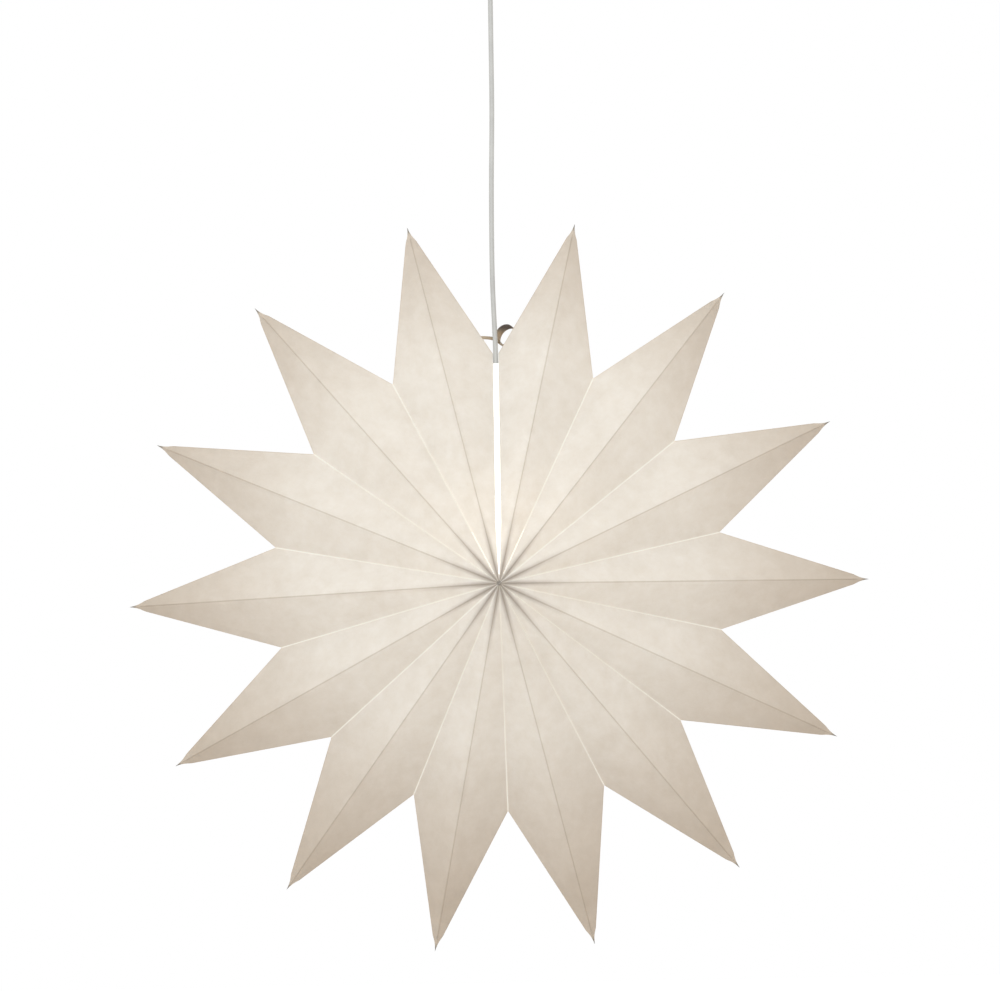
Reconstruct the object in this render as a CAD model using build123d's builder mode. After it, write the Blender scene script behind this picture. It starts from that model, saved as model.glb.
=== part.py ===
"""A fold-out paper star on a pendant cord: fourteen hollow points round a bulb, hung from a ceiling hook.

The origin is the middle of the ceiling plate's top face, where it meets the ceiling. +Z is up, the star's
front faces -Y, and +X is to its right. Lengths are in millimetres and angles in degrees.
"""

from build123d import *

import os
from math import cos, hypot, pi, radians, sin, sqrt, tan

# Star: seen from the front it is a ring of kites, and each kite rises to a peak at the front and the back.
TIP_RADIUS = 375
NOTCH_RADIUS = 231
HALF_DEPTH = 85
STAR_DROP = 690  # the ceiling to the star's centre
# How wide each point stands, clockwise from the seam at the top. The hung paper spreads unevenly.
POINT_SPREADS = (25.5, 26.25, 26, 24.75, 25.25, 25.5, 25.25, 24.25, 25.5, 26, 25.5, 25.75, 27, 27.25)
PAPER = 0.3
FLAP_WIDTH = 10  # the glued strip inside each valley fold
CENTRE_HOLE_RADIUS = 1.8

# Seam: the two ends of the folded paper meet at the top, on either side of the cord, and each has a card.
CORD_RADIUS = 2.5
SEAM_CLEARANCE = 0.3
SEAM_TAPER = 62  # the radius at which the two ends start to close in on the centre
CARD = 1.0
CARD_LEG = 8
STRIP_SETBACK = 1.2  # the strips that close the seam, behind its edges
STRIP_BOTTOM = 14
STRIP_SHORT = 15  # from the notch down to the strips' upper end
FIT = 0.3  # clearance between pieces that rest on each other

# Lampholder: a dome over a barrel, with the cord coming down through a neck.
HOLDER_RISE = 160  # the dome's shoulder above the star's centre
NECK_RADIUS = 6
NECK_HEIGHT = 10
NECK_EDGE = 1
HOLDER_RADIUS = 20
HOLDER_WALL = 2
DOME_HEIGHT = 28
DOME_SHOULDER = 13  # the flat ring on which the star's cards rest
DOME_FLAT_COUNT = 3
BARREL_LENGTH = 36
MOUTH_RADIUS = 15
LIP_HEIGHT = 4
CORE_HEIGHT = 12
SHELL_INNER_RADIUS = 13.5
SHELL_WALL = 0.5
SHELL_LENGTH = 20
CONTACT_THICKNESS = 0.6
CONTACT_WIDTH = 6
CONTACT_SPAN = 16
CONTACT_BOW = 2.4
CLAMP_LENGTH = 24
CLAMP_DEPTH = 10
CLAMP_HEIGHT = 6
CLAMP_SCREW_SPACING = 16
CLAMP_SCREW_LENGTH = 10.8
CORD_TAIL = 2  # how far the cord comes out under the clamp
TERMINAL_SPACING = 14
SCREW_RADIUS = 1.5
SCREW_HEAD_RADIUS = 2.7
SCREW_HEAD_HEIGHT = 1.6
BOSS_WALL = 1.5
BORE_CLEARANCE = 0.1

# Bulb
BULB_RADIUS = 30
BULB_LENGTH = 107  # the tip contact to the bottom of the glass
BULB_NECK_RADIUS = 12.2
GLASS = 1.0
NECK_LENGTH = 12  # the straight part of the glass that is in the screw cap
GLOBE_START = 50  # how far above the globe's widest place its neck begins, in degrees
GLOBE_END = -84  # where its rounded end is flattened
GLOBE_FLAT_COUNT = 9
SCREW_CAP_RADIUS = 13.1
SCREW_CAP_LENGTH = 22
SCREW_CAP_WALL = 0.6
SCREW_CAP_EDGE = 2
INSULATOR_HEIGHT = 4
INSULATOR_TOP_RADIUS = 5.5
TIP_CONTACT_RADIUS = 4.5
TIP_CONTACT_HEIGHT = 1.6
STEM_RADIUS = 5
STEM_LENGTH = 18
STEM_TAPER = 3
ROD_RADIUS = 1.5
ROD_LENGTH = 46
FILAMENT_COUNT = 4
FILAMENT_WIDTH = 1.6
FILAMENT_LENGTH = 32
FILAMENT_CIRCLE = 9
LEAD_WIDTH = 0.6

# Ceiling plate and hook
PLATE_RADIUS = 30
PLATE_THICKNESS = 1.5
PLATE_SCREW_SPACING = 44
PLATE_SCREW_HOLE_RADIUS = 2.25
WIRE_RADIUS = 1.5
HOOK_BEND = 6
HOOK_FLAT_COUNT = 5  # an odd number, so that the eye hangs on a level run
HOOK_SHANK = 12.3
HOOK_TIP = 4
RIVET_RADIUS = 3.2
RIVET_HEIGHT = 1.4

# Cord hanger: an eye over the hook, and under it a block that grips the cord and carries the connector.
EYE_RADIUS = 4.5
EYE_RIM = 3.5
EYE_THICKNESS = 3
EYE_SEAT = 0.5  # clearance between the eye and the wire it hangs on
HANGER_WIDTH = 16
HANGER_DEPTH = 13
HANGER_HEIGHT = 18
CORD_MOUTH = 2  # how far the cord goes into the block
GRIP_SCREW_SPACING = 9
CONNECTOR_WIDTH = 10
CONNECTOR_DEPTH = 18
CONNECTOR_HEIGHT = 14

# Ceiling cup
CUP_RADIUS = 50
CUP_WALL = 1.8
CUP_GAP = 4  # between its rim and the ceiling
CUP_SKIRT = 31  # the straight part of its side
CUP_HEIGHT = 58
CUP_FLAT_COUNT = 6
CUP_NECK_RADIUS = 7.5
CUP_NECK_HEIGHT = 10
CUP_NECK_EDGE = 1

# Closure: a strip through the rims of the first and the last point, behind the cord, with its end rolled up.
TIE_ABOVE_NOTCH = 19
TIE_WIDTH = 3.6
TIE_THICKNESS = 0.9
TIE_REACH = 23  # how far it goes to the left of the cord
TIE_BEND = 9  # where it starts to go round the cord
CURL_RADIUS = 12
CURL_WIDTH = 7
CURL_RISE = 5
CURL_BACK = 5
CURL_LEAN = 24
TIE_SLOT = 0.5  # clearance round it in the paper

RING_SIDE_COUNT = 36  # the flats round a large round piece
SCREW_SIDE_COUNT = 16
POINT_COUNT = len(POINT_SPREADS)
CENTRE_Z = -STAR_DROP
SHOULDER_Z = CENTRE_Z + HOLDER_RISE
BORE_RADIUS = CORD_RADIUS + BORE_CLEARANCE
SEAM_HALF = CORD_RADIUS + SEAM_CLEARANCE
TIE_RISE = NOTCH_RADIUS + TIE_ABOVE_NOTCH
# The angle from each point's ridge to its valleys.
HALF_ANGLES = [180 * spread / sum(POINT_SPREADS) for spread in POINT_SPREADS]

# The flat of the star, in which its tips and notches lie: local x is to the right and local y is up.
STAR_PLANE = Plane(origin=(0, 0, CENTRE_Z), x_dir=(1, 0, 0), z_dir=(0, -1, 0))
# Through the star from the front to the back: local x is towards the back and local y is up.
DEPTH_PLANE = Plane(origin=(0, 0, CENTRE_Z), x_dir=(0, 1, 0), z_dir=(1, 0, 0))

os.makedirs("parts", exist_ok=True)


def save(part, name):
    """Labels a finished piece and writes it."""
    part.label = name
    export_step(part, f"parts/{name}.step")


def ridge_plane(clockwise):
    """The flat of the star, turned so that local x points along a ridge fold."""
    angle = radians(clockwise)
    return Plane(origin=(0, 0, CENTRE_Z), x_dir=(sin(angle), 0, cos(angle)), z_dir=(0, -1, 0))


def panel_slopes(half_angle):
    """A panel is where (distance out, distance to the side, depth) times these slopes add up to 1."""
    notch_out = NOTCH_RADIUS * cos(radians(half_angle))
    notch_side = NOTCH_RADIUS * sin(radians(half_angle))
    return 1 / TIP_RADIUS, (1 - notch_out / TIP_RADIUS) / notch_side, 1 / HALF_DEPTH


def inner_scale(half_angle):
    """The panels' inner faces are their outer ones, shrunk towards the star's centre by this much."""
    return 1 - PAPER * hypot(*panel_slopes(half_angle))


def kite(half_angle, scale=1.0, corner=0.0):
    """A point's outline: its corner at the star's centre, its right notch, its tip and its left notch."""
    along, across, _ = panel_slopes(half_angle)
    rise = tan(radians(half_angle))
    notch_out = (scale + across * rise * corner) / (along + across * rise)
    notch_side = (notch_out - corner) * rise
    return [(corner, 0), (notch_out, -notch_side), (scale * TIP_RADIUS, 0), (notch_out, notch_side)]


def pull_up(plane, outline, peak, mode=Mode.ADD):
    """Raises a flat outline to a peak over its first corner, at the front and at the back."""
    with BuildSketch(plane, mode=Mode.PRIVATE) as flat:
        with BuildLine():
            Polyline(*outline, close=True)
        make_face()
    for side in (1, -1):
        tip = plane.from_local_coords((*outline[0], side * peak))
        loft(sections=[flat.sketch.face(), Vertex(*tip)], ruled=True, mode=mode)


def round_corner(middle_x, middle_z, radius, start, end, flats):
    """Points round part of a circle, in a few flats, so that the shape made from them has few faces."""
    angles = [radians(start + (end - start) * step / flats) for step in range(flats + 1)]
    return [(middle_x + radius * cos(angle), middle_z + radius * sin(angle)) for angle in angles]


def through_rings(rings, mode=Mode.ADD):
    """A round shape on the cord's line, from level rings that are given by radius and height."""
    sections = []
    for radius, height in rings:
        with BuildSketch(Plane.XY.offset(height), mode=Mode.PRIVATE) as ring:
            RegularPolygon(radius, RING_SIDE_COUNT)
        sections.append(ring.sketch.face())
    loft(sections=sections, ruled=True, mode=mode)


def drum(radius, top, bottom, mode=Mode.ADD):
    """An upright round piece on the cord's line, with flats round it."""
    through_rings([(radius, top), (radius, bottom)], mode)


def screw(plane, length):
    """A screw with its shank going in behind the plane and its head standing on it."""
    for radius, reach in ((SCREW_RADIUS, -length), (SCREW_HEAD_RADIUS, SCREW_HEAD_HEIGHT)):
        with BuildSketch(plane, mode=Mode.PRIVATE) as outline:
            RegularPolygon(radius, SCREW_SIDE_COUNT)
        extrude(outline.sketch, amount=reach)


def turned(radius, top, bottom, mode=Mode.ADD):
    """An upright round piece or bore on the cord's line, truly round."""
    with BuildSketch(Plane.XY.offset(bottom), mode=Mode.PRIVATE) as disc:
        Circle(radius)
    extrude(disc.sketch, amount=top - bottom, mode=mode)


# Closure strip: it goes round the back of the cord between the two rims, and ends in a curl on the right.
tie_bow = CORD_RADIUS + FIT + TIE_THICKNESS
curl_middle = CORD_RADIUS + FIT + CURL_RADIUS + TIE_THICKNESS
curl_start = curl_middle - sqrt(CURL_RADIUS**2 - CURL_RISE**2)
lean = radians(CURL_LEAN)
curl_plane = Plane(
    origin=(curl_middle, CURL_BACK, CENTRE_Z + TIE_RISE + CURL_RISE),
    x_dir=(1, 0, 0),
    z_dir=(0, -cos(lean), sin(lean)),
)


def tie_shape(grown=0.0):
    """The strip and its rolled end, or the same grown all round."""
    width = TIE_WIDTH + 2 * grown
    thickness = TIE_THICKNESS + 2 * grown
    with BuildSketch(Plane.XY.offset(CENTRE_Z + TIE_RISE - width / 2), mode=Mode.PRIVATE) as strip:
        with BuildLine() as run:
            Line((-TIE_REACH, 0), (-TIE_BEND, 0))
            ThreePointArc((-TIE_BEND, 0), (-TIE_BEND / 2, 0.75 * tie_bow), (0, tie_bow))
            TangentArc((0, tie_bow), (curl_start, CURL_BACK), tangent=(1, 0))
        trace(run.line, line_width=thickness)
    extrude(strip.sketch, amount=width)
    with BuildSketch(curl_plane.offset(-CURL_WIDTH / 2 - grown), mode=Mode.PRIVATE) as ring:
        RegularPolygon(CURL_RADIUS + thickness / 2, RING_SIDE_COUNT)
        RegularPolygon(CURL_RADIUS - thickness / 2, RING_SIDE_COUNT, mode=Mode.SUBTRACT)
    extrude(ring.sketch, amount=CURL_WIDTH + 2 * grown)


with BuildPart() as closure_tie:
    tie_shape()
save(closure_tie.part, "closure_tie")

with BuildPart() as tie_slots:
    tie_shape(TIE_SLOT)

# The gap between the two ends of the paper, which narrows to nothing at the centre.
with BuildPart() as seam_gap:
    with BuildSketch(STAR_PLANE):
        with BuildLine():
            Polyline(
                (0, 0),
                (SEAM_HALF, SEAM_TAPER),
                (SEAM_HALF, TIP_RADIUS),
                (-SEAM_HALF, TIP_RADIUS),
                (-SEAM_HALF, SEAM_TAPER),
                close=True,
            )
        make_face()
    extrude(amount=2 * HALF_DEPTH, both=True)

# Paper points: four panels folded at the ridges and the rim, open to the middle, with a glued flap in
# each valley.
flap_scale = 1 - FLAP_WIDTH * hypot(1 / HALF_DEPTH, 1 / NOTCH_RADIUS)
clockwise = 0.0
for number, half in enumerate(HALF_ANGLES, start=1):
    plane = ridge_plane(clockwise + half)
    clockwise += 2 * half
    inner = inner_scale(half)
    corner = PAPER / sin(radians(half))
    rib_plane = Plane(origin=plane.origin, x_dir=plane.x_dir, z_dir=plane.y_dir)
    rib_reach = flap_scale * NOTCH_RADIUS * cos(radians(half))
    with BuildPart() as point:
        pull_up(plane, kite(half), HALF_DEPTH)
        pull_up(plane, kite(half, inner, corner), HALF_DEPTH * (inner - corner / TIP_RADIUS), Mode.SUBTRACT)
        # the ribs between the points are cut away, all but the flaps
        with BuildSketch(rib_plane):
            with BuildLine():
                Polyline(
                    (0, flap_scale * HALF_DEPTH),
                    (rib_reach, 0),
                    (0, -flap_scale * HALF_DEPTH),
                    close=True,
                )
            make_face()
        extrude(amount=NOTCH_RADIUS, both=True, mode=Mode.SUBTRACT)
        with BuildSketch(STAR_PLANE):
            Circle(CENTRE_HOLE_RADIUS)
        extrude(amount=2 * HALF_DEPTH, both=True, mode=Mode.SUBTRACT)
        if number in (1, POINT_COUNT):
            # an end point has a card in place of the flap beside the seam
            open_kite = kite(half, inner)
            seam_notch = open_kite[3] if number == 1 else open_kite[1]
            pull_up(plane, [open_kite[0], seam_notch, open_kite[2]], HALF_DEPTH * inner, Mode.SUBTRACT)
            add(seam_gap.part, mode=Mode.SUBTRACT)
            add(tie_slots.part, mode=Mode.SUBTRACT)
    save(point.part, f"paper_point_{number:02d}")

# End cards: each stiffens one end of the paper, and its lower edge rests on the lampholder's shoulder.
leg_scale = 1 - CARD_LEG * hypot(1 / HALF_DEPTH, 1 / NOTCH_RADIUS)
leg_inside = leg_scale * HALF_DEPTH - SEAM_TAPER * HALF_DEPTH / NOTCH_RADIUS
holder_half = HOLDER_RADIUS + 5 * FIT
for name, half, side in (("right_end_card", HALF_ANGLES[0], 1), ("left_end_card", HALF_ANGLES[-1], -1)):
    with BuildPart() as card:
        pull_up(ridge_plane(side * half), kite(half, inner_scale(half)), HALF_DEPTH * inner_scale(half))
        with BuildSketch(DEPTH_PLANE.offset(side * SEAM_HALF)):
            with Locations((0, SEAM_TAPER)):
                Rectangle(3 * HALF_DEPTH, TIP_RADIUS - SEAM_TAPER, align=(Align.CENTER, Align.MIN))
            with BuildLine():
                Polyline(
                    (-holder_half, HOLDER_RISE + FIT),
                    (holder_half, HOLDER_RISE + FIT),
                    (leg_inside, SEAM_TAPER),
                    (leg_inside, 0),
                    (-leg_inside, 0),
                    (-leg_inside, SEAM_TAPER),
                    close=True,
                )
            make_face(mode=Mode.SUBTRACT)
            with Locations((0, HOLDER_RISE)):
                slot = (2 * NECK_RADIUS + 6 * FIT, NECK_HEIGHT + 3 * FIT)
                Rectangle(*slot, align=(Align.CENTER, Align.MIN), mode=Mode.SUBTRACT)
        extrude(amount=side * CARD, mode=Mode.INTERSECT)
    save(card.part, name)

# Seam strips: thin paper, glued along the right card, which closes the seam at the front and at the back.
strip_slope = HALF_DEPTH / NOTCH_RADIUS
strip_top = NOTCH_RADIUS - STRIP_SHORT
for name, side in (("front_seam_strip", -1), ("back_seam_strip", 1)):
    outer_top = HALF_DEPTH - STRIP_SETBACK - strip_slope * strip_top
    outer_bottom = HALF_DEPTH - STRIP_SETBACK - strip_slope * STRIP_BOTTOM
    with BuildPart() as seam_strip:
        with BuildSketch(DEPTH_PLANE.offset(FIT - SEAM_HALF)):
            with BuildLine():
                Polyline(
                    (side * outer_bottom, STRIP_BOTTOM),
                    (side * outer_top, strip_top),
                    (side * (outer_top - PAPER), strip_top),
                    (side * (outer_bottom - PAPER), STRIP_BOTTOM),
                    close=True,
                )
            make_face()
        extrude(amount=2 * SEAM_HALF - FIT)
    save(seam_strip.part, name)

# Lampholder cap: a neck for the cord, a flat shoulder, and a dome that closes on the barrel.
dome_bottom = SHOULDER_Z - DOME_HEIGHT
cavity_top = SHOULDER_Z - HOLDER_WALL - (HOLDER_RADIUS - DOME_SHOULDER)
core_top = dome_bottom - FIT
clamp_bottom = core_top + SCREW_HEAD_HEIGHT + CORD_TAIL
shoulder_round = HOLDER_RADIUS - DOME_SHOULDER
with BuildPart() as lampholder_cap:
    through_rings(
        [
            (HOLDER_RADIUS, dome_bottom),
            *round_corner(DOME_SHOULDER, SHOULDER_Z - shoulder_round, shoulder_round, 0, 90, DOME_FLAT_COUNT),
        ]
    )
    through_rings(
        [
            (NECK_RADIUS, SHOULDER_Z),
            (NECK_RADIUS, SHOULDER_Z + NECK_HEIGHT - NECK_EDGE),
            (NECK_RADIUS - NECK_EDGE, SHOULDER_Z + NECK_HEIGHT),
        ]
    )
    drum(HOLDER_RADIUS - HOLDER_WALL, cavity_top, dome_bottom, Mode.SUBTRACT)
    # two bosses for the cord clamp's screws
    with BuildSketch(Plane.XY.offset(clamp_bottom + CLAMP_HEIGHT)):
        with Locations((-CLAMP_SCREW_SPACING / 2, 0), (CLAMP_SCREW_SPACING / 2, 0)):
            RegularPolygon(SCREW_RADIUS + BOSS_WALL, SCREW_SIDE_COUNT)
    extrude(until=Until.NEXT)
    with BuildSketch(Plane.XY.offset(clamp_bottom + CLAMP_HEIGHT)):
        with Locations((-CLAMP_SCREW_SPACING / 2, 0), (CLAMP_SCREW_SPACING / 2, 0)):
            RegularPolygon(SCREW_RADIUS + BORE_CLEARANCE, SCREW_SIDE_COUNT)
    extrude(amount=CLAMP_HEIGHT, mode=Mode.SUBTRACT)
    turned(BORE_RADIUS, SHOULDER_Z + NECK_HEIGHT, dome_bottom, Mode.SUBTRACT)
save(lampholder_cap.part, "lampholder_cap")

# Lampholder barrel: open at the bottom, with a lip that leaves room for the bulb's screw cap.
barrel_bottom = dome_bottom - BARREL_LENGTH
barrel_bore = HOLDER_RADIUS - HOLDER_WALL
with BuildPart() as lampholder_barrel:
    drum(HOLDER_RADIUS, dome_bottom, barrel_bottom)
    drum(barrel_bore, dome_bottom, barrel_bottom + LIP_HEIGHT, Mode.SUBTRACT)
    drum(MOUTH_RADIUS, barrel_bottom + LIP_HEIGHT, barrel_bottom, Mode.SUBTRACT)
save(lampholder_barrel.part, "lampholder_barrel")

# Core: the moulded block that carries the contacts, clipped in the top of the barrel.
core_bottom = core_top - CORE_HEIGHT
shell_radius = SHELL_INNER_RADIUS + SHELL_WALL
with BuildPart() as lampholder_core:
    drum(barrel_bore - FIT, core_top, core_bottom)
    with BuildSketch(Plane.XY.offset(core_top)):
        with Locations((-TERMINAL_SPACING / 2, 0), (TERMINAL_SPACING / 2, 0)):
            RegularPolygon(SCREW_RADIUS + BORE_CLEARANCE, SCREW_SIDE_COUNT)
    extrude(amount=-CORE_HEIGHT / 2, mode=Mode.SUBTRACT)
save(lampholder_core.part, "lampholder_core")

# Terminal screws, one for each conductor, with their heads on top of the core.
with BuildPart() as terminal_screws:
    for side in (-1, 1):
        screw(Plane((side * TERMINAL_SPACING / 2, 0, core_top)), CORE_HEIGHT / 2)
save(terminal_screws.part, "terminal_screws")

# Screw shell: the brass sleeve that the bulb turns into, hung under the core.
with BuildPart() as screw_shell:
    drum(shell_radius, core_bottom, core_bottom - SHELL_LENGTH)
    drum(SHELL_INNER_RADIUS, core_bottom, core_bottom - SHELL_LENGTH, Mode.SUBTRACT)
save(screw_shell.part, "screw_shell")

# Centre contact: a sprung strip under the core, bent down to the bulb's tip.
tip_z = core_bottom - CONTACT_BOW - CONTACT_THICKNESS - FIT
with BuildPart() as centre_contact:
    with BuildSketch(Plane.XZ):
        with BuildLine() as strip:
            inset = CONTACT_THICKNESS / 2
            Polyline(
                (-CONTACT_SPAN / 2, core_bottom - inset),
                (-CONTACT_SPAN / 4, core_bottom - inset),
                (-CONTACT_SPAN / 8, core_bottom - CONTACT_BOW - inset),
                (CONTACT_SPAN / 8, core_bottom - CONTACT_BOW - inset),
                (CONTACT_SPAN / 4, core_bottom - inset),
                (CONTACT_SPAN / 2, core_bottom - inset),
            )
        trace(strip.line, line_width=CONTACT_THICKNESS)
    extrude(amount=CONTACT_WIDTH / 2, both=True)
save(centre_contact.part, "centre_contact")

# Cord clamp: a bar across the inside of the cap that takes the star's weight off the terminals.
with BuildPart() as cord_clamp:
    with BuildSketch(Plane.XY.offset(clamp_bottom)):
        Rectangle(CLAMP_LENGTH, CLAMP_DEPTH)
        Circle(BORE_RADIUS, mode=Mode.SUBTRACT)
        with Locations((-CLAMP_SCREW_SPACING / 2, 0), (CLAMP_SCREW_SPACING / 2, 0)):
            RegularPolygon(SCREW_RADIUS + BORE_CLEARANCE, SCREW_SIDE_COUNT, mode=Mode.SUBTRACT)
    extrude(amount=CLAMP_HEIGHT)
save(cord_clamp.part, "cord_clamp")

# Bosses under the cap's top take the clamp's screws.
with BuildPart() as clamp_screws:
    for side in (-1, 1):
        screw(Plane((side * CLAMP_SCREW_SPACING / 2, 0, clamp_bottom), z_dir=(0, 0, -1)), CLAMP_SCREW_LENGTH)
save(clamp_screws.part, "clamp_screws")

# Bulb: a glass globe on a neck, cemented in the screw cap.
tip_bottom = tip_z - TIP_CONTACT_HEIGHT
insulator_bottom = tip_bottom - INSULATOR_HEIGHT
cap_bottom = insulator_bottom - SCREW_CAP_LENGTH
glass_top = cap_bottom + NECK_LENGTH
globe_z = tip_z - BULB_LENGTH + BULB_RADIUS


def bulb_rings(inset):
    """The rings of the bulb's glass, or of the hollow inside it."""
    return [
        (BULB_NECK_RADIUS - inset, glass_top - inset),
        (BULB_NECK_RADIUS - inset, cap_bottom),
        *round_corner(0, globe_z, BULB_RADIUS - inset, GLOBE_START, GLOBE_END, GLOBE_FLAT_COUNT),
    ]


with BuildPart() as bulb_glass:
    through_rings(bulb_rings(0))
    through_rings(bulb_rings(GLASS), Mode.SUBTRACT)
save(bulb_glass.part, "bulb_glass")

with BuildPart() as bulb_screw_cap:
    through_rings(
        [
            (SCREW_CAP_RADIUS - SCREW_CAP_EDGE, insulator_bottom),
            (SCREW_CAP_RADIUS, insulator_bottom - SCREW_CAP_EDGE),
            (SCREW_CAP_RADIUS, cap_bottom),
        ]
    )
    cap_inside_top = insulator_bottom - SCREW_CAP_EDGE - SCREW_CAP_WALL
    drum(SCREW_CAP_RADIUS - SCREW_CAP_WALL, cap_inside_top, cap_bottom, Mode.SUBTRACT)
save(bulb_screw_cap.part, "bulb_screw_cap")

with BuildPart() as bulb_insulator:
    through_rings([(SCREW_CAP_RADIUS - SCREW_CAP_EDGE, insulator_bottom), (INSULATOR_TOP_RADIUS, tip_bottom)])
save(bulb_insulator.part, "bulb_insulator")

with BuildPart() as bulb_tip_contact:
    contact_edge = TIP_CONTACT_HEIGHT / 2
    through_rings(
        [
            (TIP_CONTACT_RADIUS, tip_bottom),
            (TIP_CONTACT_RADIUS, tip_z - contact_edge),
            (TIP_CONTACT_RADIUS - contact_edge, tip_z),
        ]
    )
save(bulb_tip_contact.part, "bulb_tip_contact")

# Stem: a stub of glass in the neck, drawn out to a thin rod that carries the filaments.
stem_top = glass_top - GLASS
stem_bottom = stem_top - STEM_LENGTH
rod_bottom = stem_bottom - ROD_LENGTH
with BuildPart() as bulb_stem:
    through_rings(
        [
            (STEM_RADIUS, stem_top),
            (STEM_RADIUS, stem_bottom + STEM_TAPER),
            (ROD_RADIUS, stem_bottom),
            (ROD_RADIUS, rod_bottom),
        ]
    )
save(bulb_stem.part, "bulb_stem")

# Filaments: flat sticks round the rod, each held by a lead at its top and its bottom.
filament_bottom = rod_bottom + FILAMENT_WIDTH
with BuildPart() as bulb_filaments:
    for step in range(FILAMENT_COUNT):
        side_on = Plane.XZ.rotated((0, 0, 360 / FILAMENT_COUNT * (step + 0.5)))
        with BuildSketch(side_on.offset(-FILAMENT_WIDTH / 2)):
            with Locations((FILAMENT_CIRCLE, filament_bottom)):
                Rectangle(FILAMENT_WIDTH, FILAMENT_LENGTH, align=(Align.CENTER, Align.MIN))
        extrude(amount=FILAMENT_WIDTH)
        with BuildSketch(side_on.offset(-LEAD_WIDTH / 2)):
            for rise in (0, FILAMENT_LENGTH - LEAD_WIDTH):
                with Locations((ROD_RADIUS + FIT / 2, filament_bottom + rise)):
                    Rectangle(FILAMENT_CIRCLE - ROD_RADIUS, LEAD_WIDTH, align=(Align.MIN, Align.MIN))
        extrude(amount=LEAD_WIDTH)
save(bulb_filaments.part, "bulb_filaments")

# Ceiling plate: a disc with two screw holes.
with BuildPart() as ceiling_plate:
    turned(PLATE_RADIUS, 0, -PLATE_THICKNESS)
    with BuildSketch(Plane.XY):
        with Locations((-PLATE_SCREW_SPACING / 2, 0), (PLATE_SCREW_SPACING / 2, 0)):
            Circle(PLATE_SCREW_HOLE_RADIUS)
    extrude(amount=-PLATE_THICKNESS, mode=Mode.SUBTRACT)
save(ceiling_plate.part, "ceiling_plate")

# Hook: a wire riveted in the plate and bent up again at the front.
hook_bottom = -HOOK_SHANK - HOOK_BEND * cos(pi / 2 / HOOK_FLAT_COUNT)
with BuildPart() as ceiling_hook:
    with BuildLine() as hook_line:
        Polyline(
            (0, HOOK_BEND, -PLATE_THICKNESS),
            *[(0, y, z) for y, z in round_corner(0, -HOOK_SHANK, HOOK_BEND, 0, -180, HOOK_FLAT_COUNT)],
            (0, -HOOK_BEND, HOOK_TIP - HOOK_SHANK),
        )
    with BuildSketch(Plane.XY.offset(-PLATE_THICKNESS)):
        with Locations((0, HOOK_BEND)):
            RegularPolygon(WIRE_RADIUS, SCREW_SIDE_COUNT)
    sweep(path=hook_line.line, transition=Transition.RIGHT)
    with BuildSketch(Plane.XY.offset(-PLATE_THICKNESS)):
        with Locations((0, HOOK_BEND)):
            RegularPolygon(RIVET_RADIUS, SCREW_SIDE_COUNT)
    extrude(amount=-RIVET_HEIGHT)
save(ceiling_hook.part, "ceiling_hook")

# Cord hanger: an eye over the hook's wire, on a block that the cord is gripped in.
eye_z = hook_bottom + WIRE_RADIUS + EYE_SEAT - EYE_RADIUS
block_top = eye_z - EYE_RADIUS - EYE_RIM
block_bottom = block_top - HANGER_HEIGHT
mouth_radius = CORD_RADIUS + 2 * FIT
with BuildPart() as cord_hanger:
    with BuildSketch(Plane.XZ):
        with Locations((0, eye_z)):
            Circle(EYE_RADIUS + EYE_RIM)
        with Locations((0, block_top)):
            Rectangle(HANGER_WIDTH, eye_z - block_top, align=(Align.CENTER, Align.MIN))
        with Locations((0, eye_z)):
            Circle(EYE_RADIUS, mode=Mode.SUBTRACT)
    extrude(amount=EYE_THICKNESS / 2, both=True)
    with BuildSketch(Plane.XY.offset(block_bottom)):
        Rectangle(HANGER_WIDTH, HANGER_DEPTH)
    extrude(amount=HANGER_HEIGHT)
    chamfer(cord_hanger.edges().group_by(Axis.Z)[0], length=1)
    turned(mouth_radius, block_bottom + CORD_MOUTH, block_bottom, Mode.SUBTRACT)
save(cord_hanger.part, "cord_hanger")

# Grip screws, in the front of the block, with their heads proud.
with BuildPart() as grip_screws:
    with BuildSketch(Plane.XZ.offset(HANGER_DEPTH / 2)):
        with Locations((0, block_top - HANGER_HEIGHT / 2)):
            with GridLocations(0, GRIP_SCREW_SPACING, 1, 2):
                RegularPolygon(SCREW_HEAD_RADIUS, SCREW_SIDE_COUNT)
    extrude(amount=SCREW_HEAD_HEIGHT)
save(grip_screws.part, "grip_screws")

# Connector: a terminal block on the side of the hanger, open at the top for the house wires.
connector_x = HANGER_WIDTH / 2 + CONNECTOR_WIDTH / 2
connector_z = block_top - HANGER_HEIGHT / 2 + CONNECTOR_HEIGHT / 2
with BuildPart() as connector_block:
    with BuildSketch(Plane.XY.offset(connector_z)):
        with Locations((connector_x, 0)):
            Rectangle(CONNECTOR_WIDTH, CONNECTOR_DEPTH)
    extrude(amount=-CONNECTOR_HEIGHT)
    # the two wires' holes, and the holes of the screws that hold the wires
    with BuildSketch(Plane.XY.offset(connector_z)):
        with Locations((connector_x, 0)):
            with GridLocations(0, CONNECTOR_DEPTH / 2, 1, 2):
                RegularPolygon(SCREW_HEAD_RADIUS, SCREW_SIDE_COUNT)
    extrude(amount=-CONNECTOR_HEIGHT / 2, mode=Mode.SUBTRACT)
    with BuildSketch(Plane.YZ.offset(connector_x + CONNECTOR_WIDTH / 2)):
        with Locations((0, connector_z - CONNECTOR_HEIGHT / 2)):
            with GridLocations(CONNECTOR_DEPTH / 2, 0, 2, 1):
                RegularPolygon(SCREW_RADIUS + BORE_CLEARANCE, SCREW_SIDE_COUNT)
    extrude(amount=-CONNECTOR_WIDTH / 2, mode=Mode.SUBTRACT)
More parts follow.
